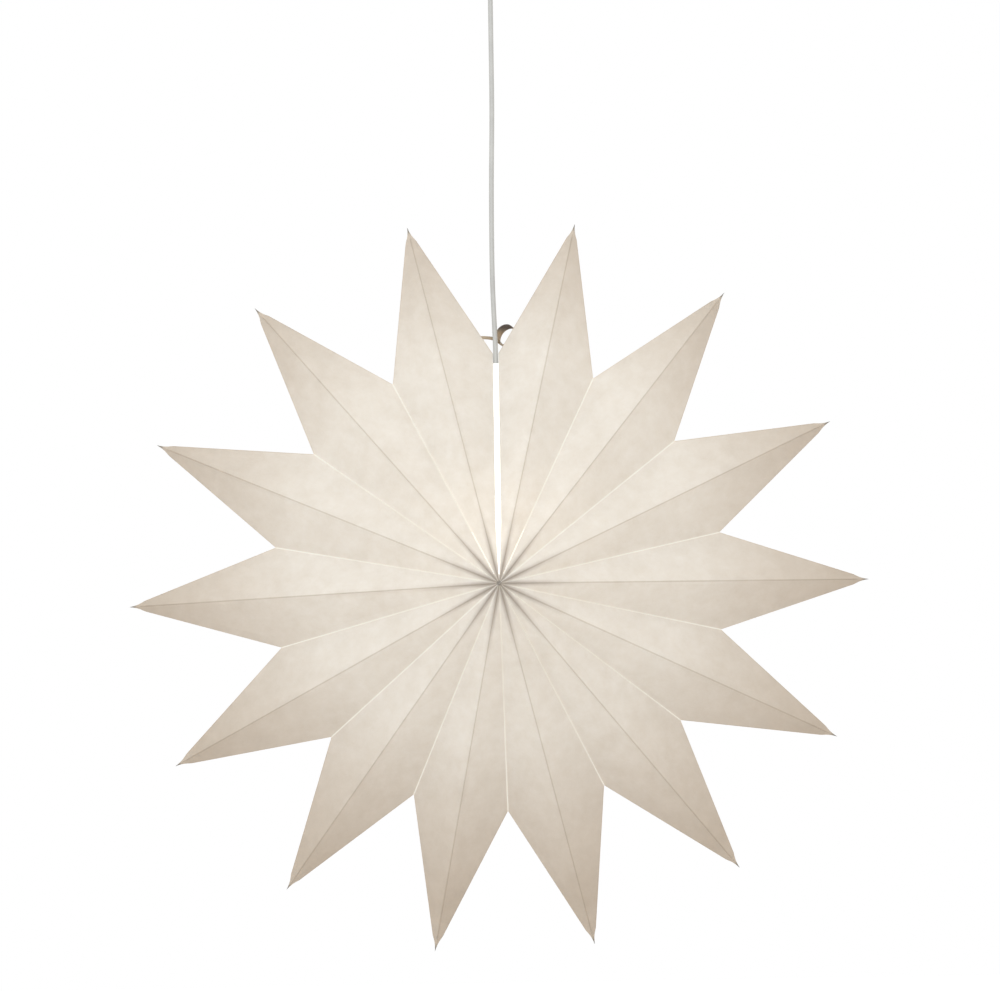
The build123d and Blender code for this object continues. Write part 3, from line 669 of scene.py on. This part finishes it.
def folded_point(number):
    """One hollow point, by its number clockwise from the seam at the top."""
    start = point_starts[number - 1]
    end = point_starts[number]
    tip = star_place(TIP_RADIUS, (start + end) / 2)
    notches = [star_place(NOTCH_RADIUS, start), star_place(NOTCH_RADIUS, end)]
    peaks = [star_place(0, 0, -HALF_DEPTH), star_place(0, 0, HALF_DEPTH)]
    bm = kite_panels(peaks, tip, notches)
    pinch_tip(bm, tip)
    layers = measure_folds(bm, peaks, tip, notches)
    add_waves(bm, layers, number)
    sides = {-1: side_way(-1, start), 1: side_way(1, end)}
    for out in sides.values():
        cut(bm, star_centre - out * GLUE_GAP / 2, out, True)
    seam_side = SEAM_SIDES.get(number, 0)
    if seam_side:
        trim_seam(bm, seam_side)
    for side, out in sides.items():
        if side != -seam_side:
            add_flap(bm, layers, out)
    face_outwards(bm, layers, tip)
    piece = mesh_piece(f"folded_point_{number:02d}", bm)
    thicken(piece, PAPER, -1)
    dress(piece, white_paper)
    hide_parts(f"paper_point_{number:02d}")
    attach(piece, "star")
    return piece


folded_points = [folded_point(number) for number in range(1, POINT_COUNT + 1)]
print(len(folded_points), "points,", sum(len(p.data.polygons) for p in folded_points), "faces")

# %% [markdown]
# ## Seam strips
#
# Where the paper's two ends meet, a narrow strip of thin paper closes the slot from the inside, at the front
# and at the back. It has a painted glow of its own, stronger than the folded paper's. It starts near the
# peak, follows the panels' edges just behind them, and goes over the cord at its upper end. Each strip starts
# as one edge across the slot, which is extruded from height to height.

# %% Seam strips
STRIP_SETBACK = 1.2 * MM
STRIP_CLEARANCE = 0.15 * MM
STRIP_HEIGHTS = [step * MM for step in (14, 30, 46, 62, 90, 120, 150, 180, 200, 210, 217, 222, 225)]
STRIP_OVER_CORD = CORD_RADIUS + 0.7 * MM


def seam_strip(name, node, side):
    """One strip, at the front for side -1 and at the back for side 1."""
    bm = bmesh.new()
    edge = None
    for height in STRIP_HEIGHTS:
        depth = max(HALF_DEPTH * (1 - height / NOTCH_RADIUS) - STRIP_SETBACK, STRIP_OVER_CORD)
        half = SEAM_HALF * min(1, height / SEAM_TAPER) - STRIP_CLEARANCE
        if edge is None:
            edge = bm.edges.new([bm.verts.new((-half, 0, 0)), bm.verts.new((half, 0, 0))])
            left, right = edge.verts
        else:
            grown = bmesh.ops.extrude_edge_only(bm, edges=[edge])["geom"]
            left, right = sorted(new_corners(grown), key=lambda v: v.co.x)
            edge = bm.edges.get((left, right))
        left.co = (-half, side * depth, CENTRE_Z + height)
        right.co = (half, side * depth, CENTRE_Z + height)
    bm.normal_update()
    bmesh.ops.reverse_faces(bm, faces=[f for f in bm.faces if f.normal.y * side < 0])
    piece = mesh_piece(name, bm)
    thicken(piece, PAPER, -1)
    dress(piece, strip_paper)
    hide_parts(node)
    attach(piece, "star")
    return piece


front_strip = seam_strip("front_seam_paper", "front_seam_strip", -1)
seam_strip("back_seam_paper", "back_seam_strip", 1)
print("seam strips with", len(front_strip.data.polygons), "faces each")

# %% [markdown]
# ## Closure strip
#
# A thin ribbon joins the rims of the first and the last point. It goes behind the cord, and what is left over
# is rolled up. One edge as wide as the ribbon is spun round the roll's axis, which leans a little, so that
# the inside of the roll shows from the front. The spin's first edge is then extruded from place to place
# along the ribbon, and each time it is set in line with the way the ribbon lies there. Solidify gives the
# ribbon its thickness.

# %% Closure strip
ROLL_RADIUS = 11.2 * MM
ROLL_HALF_WIDTH = 5.2 * MM
ROLL_START = radians(255)
ROLL_TURN = radians(325)
ROLL_STEPS = 48
RIBBON_THICKNESS = 0.6 * MM
roll_middle = Vector((11.8 * MM, 10.5 * MM, -0.4355))
roll_axis = Vector((-0.52, -0.80, 0.30)).normalized()
ribbon_places = [
    ((5.2 * MM, 8.6 * MM, -0.4418), (0.8 * MM, 2.2 * MM, -1.4 * MM)),
    ((1.5 * MM, 6.2 * MM, -0.4394), (0, 1.2 * MM, -1.8 * MM)),
    ((-2.5 * MM, 4.4 * MM, -0.4382), (0, 0.5 * MM, -1.7 * MM)),
    ((-7 * MM, 2.2 * MM, -0.4378), (0, 0, -1.6 * MM)),
    ((-11 * MM, 0.6 * MM, -0.4377), (0, 0, -1.6 * MM)),
    ((-17 * MM, 0, -0.4377), (0, 0, -1.6 * MM)),
    ((-22.5 * MM, 0, -0.4377), (0, 0, -1.6 * MM)),
]

bm = bmesh.new()
roll_side = roll_axis.cross(Vector((0, 0, 1))).normalized()
roll_up = roll_side.cross(roll_axis).normalized()
roll_edge = roll_middle + (roll_side * -cos(ROLL_START) + roll_up * sin(ROLL_START)) * ROLL_RADIUS
ends = [bm.verts.new(roll_edge + roll_axis * half) for half in (ROLL_HALF_WIDTH, -ROLL_HALF_WIDTH)]
start_edge = bm.edges.new(ends)
bmesh.ops.spin(
    bm,
    geom=[start_edge, *ends],
    cent=roll_middle,
    axis=roll_axis,
    angle=ROLL_TURN,
    steps=ROLL_STEPS,
    use_merge=False,
)
last_edge = start_edge
for place, half in ribbon_places:
    grown = bmesh.ops.extrude_edge_only(bm, edges=[last_edge])["geom"]
    last_edge = bm.edges.get(new_corners(grown))
    near, far = sorted(last_edge.verts, key=lambda v: v.co.y)
    near.co = Vector(place) - Vector(half)
    far.co = Vector(place) + Vector(half)
for f in bm.faces:
    f.smooth = True
bmesh.ops.recalc_face_normals(bm, faces=bm.faces[:])
closure_ribbon = mesh_piece("closure_ribbon", bm)
thicken(closure_ribbon, RIBBON_THICKNESS, 0)
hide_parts("closure_tie")
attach(closure_ribbon, "star")
print("ribbon with", len(closure_ribbon.data.polygons), "faces")

# %% [markdown]
# ## Ribbon finish
#
# The ribbon is thin brown-grey paper that lets some light through. Low down its colour is warmer, painted
# light of the lamp that shines on it, and the top of the roll is painted shade, dark and dull. One measure
# of height gives the colour and the gloss.

# %% Ribbon finish
RIBBON_LOW_Z = -0.445
RIBBON_HIGH_Z = -0.425
# Painted warm lamplight low on the ribbon, and painted shade on the top of the roll.
RIBBON_PAINTED_LAMPLIGHT = (0.68, 0.57, 0.44)
RIBBON_PAINTED_SHADE = (0.27, 0.23, 0.21)
RIBBON_FLECK = (0.75, 0.74, 0.72)
RIBBON_THROUGH = 0.5


def ribbon_finish():
    """Thin brown-grey ribbon, with painted shade on the duller top of the roll and painted lamplight below.
    """
    material, nodes, links, shader = blank_material("brown_grey_ribbon")
    place = nodes.new("ShaderNodeTexCoord")
    split = nodes.new("ShaderNodeSeparateXYZ")
    height = nodes.new("ShaderNodeMapRange")
    height.inputs["From Min"].default_value = RIBBON_LOW_Z
    height.inputs["From Max"].default_value = RIBBON_HIGH_Z
    links.new(place.outputs["Object"], split.inputs["Vector"])
    links.new(split.outputs["Z"], height.inputs["Value"])
    links.new(height.outputs["Result"], shader.inputs["Roughness"])
    colour = ramp(nodes, links, height.outputs["Result"], RIBBON_PAINTED_LAMPLIGHT, RIBBON_PAINTED_SHADE, start=0.72, end=0.95)
    colour = tinted(nodes, links, cloud(nodes, links, 500, detail=5), colour, RIBBON_FLECK, 0.8)
    links.new(colour, shader.inputs["Base Color"])
    weave = cloud(nodes, links, 900, detail=5, roughness=0.65, stretch=(1, 4, 1))
    bump(nodes, links, weave, 0.1 * MM, 0.3, shader)
    through = nodes.new("ShaderNodeBsdfTranslucent")
    links.new(colour, through.inputs["Color"])
    show_through(nodes, links, shader, through, RIBBON_THROUGH)
    return material


ribbon_paper = ribbon_finish()
dress(closure_ribbon, ribbon_paper)
print("ribbon finish with", len(ribbon_paper.node_tree.nodes), "nodes")

# %% [markdown]
# ## Other finishes
#
# The CAD pieces that aren't replaced have the right shapes, so they keep their meshes and get a finish each.
# The round pieces that follow use some of the same finishes. The bulb's opal glass glows by itself.

# %% Finishes of the lamp's parts
cord_jacket = plain_finish(
    "grey_cord_jacket", (0.44, 0.44, 0.435), (0.50, 0.50, 0.49), 0.45, grain=1500, relief=0.1
)
dress(cord, cord_jacket)
white_moulding = plain_finish("white_moulding", (0.78, 0.78, 0.76), (0.82, 0.82, 0.80), 0.32, coat=0.2)
painted_steel = plain_finish("white_painted_steel", (0.78, 0.78, 0.76), (0.81, 0.81, 0.79), 0.4)
zinc = plain_finish("zinc_plated_steel", (0.55, 0.55, 0.55), (0.66, 0.66, 0.65), 0.35, metallic=1.0)
brass = plain_finish("pressed_brass", (0.72, 0.52, 0.24), (0.80, 0.60, 0.30), 0.28, metallic=1.0)
white_ceramic = plain_finish("unglazed_ceramic", (0.78, 0.76, 0.72), (0.84, 0.82, 0.78), 0.6)
cap_metal = plain_finish("bulb_cap_metal", (0.66, 0.66, 0.65), (0.75, 0.75, 0.74), 0.25, metallic=1.0)
black_glass = plain_finish("black_glass", (0.02, 0.02, 0.02), (0.04, 0.04, 0.04), 0.15, coat=0.5)
stiff_card = plain_finish(
    "stiff_white_card", (0.76, 0.74, 0.70), (0.82, 0.80, 0.76), 0.85, grain=700, relief=0.2
)
yellow_phosphor = plain_finish("yellow_phosphor", (0.80, 0.60, 0.12), (0.90, 0.70, 0.20), 0.6)
print("cord jacket with", len(cord_jacket.node_tree.nodes), "nodes")

# %% Opal glass and the CAD pieces
BULB_COLOR = (1, 0.96, 0.90)
BULB_STRENGTH = 1.8
OPAL_LOW = (0.86, 0.84, 0.80)
OPAL_HIGH = (0.92, 0.90, 0.86)


def opal_glass():
    """The lit bulb: opal glass that glows by itself."""
    material, nodes, links, shader = blank_material("lit_opal_glass")
    milky = ramp(nodes, links, cloud(nodes, links, 60), OPAL_LOW, OPAL_HIGH)
    links.new(milky, shader.inputs["Base Color"])
    shader.inputs["Roughness"].default_value = 0.3
    shader.inputs["Emission Color"].default_value = (*BULB_COLOR, 1)
    shader.inputs["Emission Strength"].default_value = BULB_STRENGTH
    return material


lit_glass = opal_glass()
CAD_FINISHES = {
    "ceiling_plate": painted_steel,
    "ceiling_hook": zinc,
    "cord_hanger": white_moulding,
    "grip_screws": zinc,
    "connector_block": white_moulding,
    "connector_screws": zinc,
    "cup_grub_screw": zinc,
    "lampholder_core": white_ceramic,
    "terminal_screws": brass,
    "screw_shell": brass,
    "centre_contact": brass,
    "cord_clamp": white_moulding,
    "clamp_screws": zinc,
    "bulb_insulator": black_glass,
    "bulb_tip_contact": brass,
    "bulb_stem": lit_glass,
    "bulb_filaments": yellow_phosphor,
    "left_end_card": stiff_card,
    "right_end_card": stiff_card,
}
for node, material in CAD_FINISHES.items():
    dress(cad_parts[node], material)
print(len(CAD_FINISHES), "CAD pieces dressed")

# %% [markdown]
# ## Turned pieces
#
# The ceiling cup, the lampholder's shell and the bulb are round. Their CAD solids have 36 flats, which is
# enough for collision but shows from the side. Here the profile of each, in millimetres, is drawn as a closed
# line of radius and height, and spun round the cord's line in finer steps. Corners get small arcs, as a mould
# gives them.

# %% Turning helpers
SPIN_STEPS = 96
SHARP_ANGLE = radians(32)


def arc(middle_radius, middle_z, radius, start, end, steps=10):
    """Points on an arc, with its angles in degrees above level."""
    places = []
    for step in range(steps + 1):
        angle = radians(start + (end - start) * step / steps)
        places.append((middle_radius + radius * cos(angle), middle_z + radius * sin(angle)))
    return places


def turned_piece(name, node, body, profile, material, reshape=None):
    """A profile of (radius, height) in millimetres spun to a full turn, with a last change to each vertex."""
    bm = bmesh.new()
    corners = [bm.verts.new((radius * MM, 0, height * MM)) for radius, height in profile]
    edges = [bm.edges.new(pair) for pair in zip(corners, corners[1:] + corners[:1])]
    bmesh.ops.spin(
        bm,
        geom=corners + edges,
        cent=(0, 0, 0),
        axis=(0, 0, 1),
        angle=2 * pi,
        steps=SPIN_STEPS,
        use_merge=True,
    )
    bmesh.ops.remove_doubles(bm, verts=bm.verts[:], dist=SAME_PLACE)
    if reshape:
        for v in bm.verts:
            v.co = reshape(v.co)
    bmesh.ops.recalc_face_normals(bm, faces=bm.faces[:])
    for f in bm.faces:
        f.smooth = True
    piece = mesh_piece(name, bm)
    piece.data.set_sharp_from_angle(angle=SHARP_ANGLE)
    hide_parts(node)
    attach(piece, body)
    dress(piece, material)
    print(name, "with", len(piece.data.polygons), "faces")


print("turned in", SPIN_STEPS, "steps")


# %% [markdown]
# ## Ceiling cup
#
# The cup is a moulded bowl with a neck that grips the cord. A shallow groove runs round it, just under the
# rim, where the mould parts.

# %% Ceiling cup
CUP_PROFILE = [
    (48.2, -4.3),
    *arc(49.1, -4.9, 0.9, 120, 0, 6),
    (50, -8),
    (49.6, -8.4),
    (49.6, -9.2),
    (50, -9.6),
    *arc(23, -35, 27, 0, -88, 20),
    *arc(9.6, -64, 2, 90, 180, 6),
    (7.5, -71),
    *arc(6.5, -71, 1, 0, -90, 5),
    (2.7, -72),
    (2.7, -60.2),
    *arc(23, -35, 25.2, -90, 0, 20),
]
turned_piece("ceiling_bowl", "ceiling_cup", "ceiling_cup", CUP_PROFILE, white_moulding)

# %% [markdown]
# ## Lampholder
#
# The lampholder's cap is a dome with a flat shoulder, on which the star's cards rest. The barrel screws to it
# and is fluted, so that fingers can turn it.

# %% Lampholder
CAP_PROFILE = [
    (2.7, -520),
    *arc(5, -521, 1, 90, 0, 5),
    (6, -530),
    *arc(13, -537, 7, 90, 0, 12),
    (20, -557.4),
    (19.6, -558),
    (18, -558),
    (18, -539),
    (2.7, -539),
]
turned_piece(
    "holder_dome", "lampholder_cap", "cord_and_lampholder", CAP_PROFILE, white_moulding
)

# %% Fluted barrel
FLUTE_RING = 1.35
BARREL_PROFILE = [
    (18, -558),
    (19.6, -558),
    (20, -558.5),
    (20, -562),
    *[(20, -562.5 - FLUTE_RING * step) for step in range(20)],
    (20, -589.5),
    *arc(18.5, -592.5, 1.5, 0, -90, 6),
    (15, -594),
    (15, -590),
    (18, -590),
]
FLUTE_DEPTH = 0.5 * MM
FLUTE_TOP = -562.5 * MM
FLUTE_BOTTOM = -588.5 * MM
BARREL_SKIN = 19.9 * MM


def fluted(place):
    """Every second column of the barrel's outside lies a little deeper."""
    radius = hypot(place.x, place.y)
    column = round(atan2(place.y, place.x) / (2 * pi) * SPIN_STEPS)
    if radius < BARREL_SKIN or not FLUTE_BOTTOM < place.z < FLUTE_TOP + SAME_PLACE or column % 2:
        return place
    return Vector((*(place.xy * (1 - FLUTE_DEPTH / radius)), place.z))


turned_piece(
    "holder_barrel",
    "lampholder_barrel",
    "cord_and_lampholder",
    BARREL_PROFILE,
    white_moulding,
    reshape=fluted,
)

# %% [markdown]
# ## Bulb
#
# The bulb is a globe of opal glass on a narrow neck. Its screw cap is thin metal with a rolled thread: the
# radius of each vertex follows a wave that climbs by one pitch in a full turn.

# %% Bulb
GLASS_PROFILE = [
    (0, -680.6),
    *arc(0, -650.6, 30, -84, 48, 30),
    (16.4, -621),
    (13.8, -613),
    (12.4, -606),
    (12.2, -601),
    (12.2, -589.2),
    (11.2, -589.2),
    (11.2, -601),
    (11.4, -606),
    (12.8, -613),
    (15.4, -621),
    *arc(0, -650.6, 29, 48, -84, 30),
    (0, -679.6),
]
turned_piece("opal_globe", "bulb_glass", "bulb", GLASS_PROFILE, lit_glass)

# %% Screw cap
THREAD_PITCH = 3.62 * MM
THREAD_DEPTH = 0.55 * MM
THREAD_TOP = -582.5 * MM
THREAD_BOTTOM = -598.5 * MM
THREAD_RING = 0.45
CAP_SKIN = 13 * MM
CAP_METAL_PROFILE = [
    (11.1, -579.2),
    (12.4, -580),
    (13.1, -581.2),
    *[(13.1, -582.5 - THREAD_RING * step) for step in range(36)],
    (13.1, -601.2),
    (12.5, -601.2),
    (12.5, -582),
    (10.9, -580.4),
]


def threaded(place):
    """The rolled thread of the screw cap."""
    radius = hypot(place.x, place.y)
    if radius < CAP_SKIN or not THREAD_BOTTOM < place.z < THREAD_TOP:
        return place
    turn = place.z / THREAD_PITCH - atan2(place.y, place.x) / (2 * pi)
    deep = THREAD_DEPTH * (0.5 - 0.5 * cos(2 * pi * turn))
    return Vector((*(place.xy * (1 - deep / radius)), place.z))


turned_piece(
    "threaded_cap",
    "bulb_screw_cap",
    "bulb",
    CAP_METAL_PROFILE,
    cap_metal,
    reshape=threaded,
)

# %% [markdown]
# ## Floor
#
# A pale floor lies under the lamp, well below the picture. It glows a little, for the camera alone, so that
# it looks nearly as light as the background from above, and the object gets no more light from it.

# %% Floor
FLOOR_Z = -2.3
FLOOR_HALF = 6
FLOOR_GREY = (0.9, 0.9, 0.9)
FLOOR_GLOW = 0.5

bm = bmesh.new()
floor_place = Matrix.Translation((0, 0, FLOOR_Z))
bmesh.ops.create_grid(bm, x_segments=1, y_segments=1, size=FLOOR_HALF, matrix=floor_place)
floor = mesh_piece("floor", bm)
floor_paint, nodes, links, shader = blank_material("pale_floor")
shader.inputs["Base Color"].default_value = (*FLOOR_GREY, 1)
shader.inputs["Roughness"].default_value = 0.9
glow = nodes.new("ShaderNodeEmission")
glow.inputs["Strength"].default_value = FLOOR_GLOW
path = nodes.new("ShaderNodeLightPath")
both = nodes.new("ShaderNodeAddShader")
seen = nodes.new("ShaderNodeMixShader")
links.new(shader.outputs[0], both.inputs[0])
links.new(glow.outputs[0], both.inputs[1])
links.new(path.outputs["Is Camera Ray"], seen.inputs["Fac"])
links.new(shader.outputs[0], seen.inputs[1])
links.new(both.outputs[0], seen.inputs[2])
links.new(seen.outputs[0], nodes["Material Output"].inputs["Surface"])
dress(floor, floor_paint)
print("floor", FLOOR_Z, "m under the ceiling")

# %% Finish
bpy.context.scene.view_settings.view_transform = "Standard"
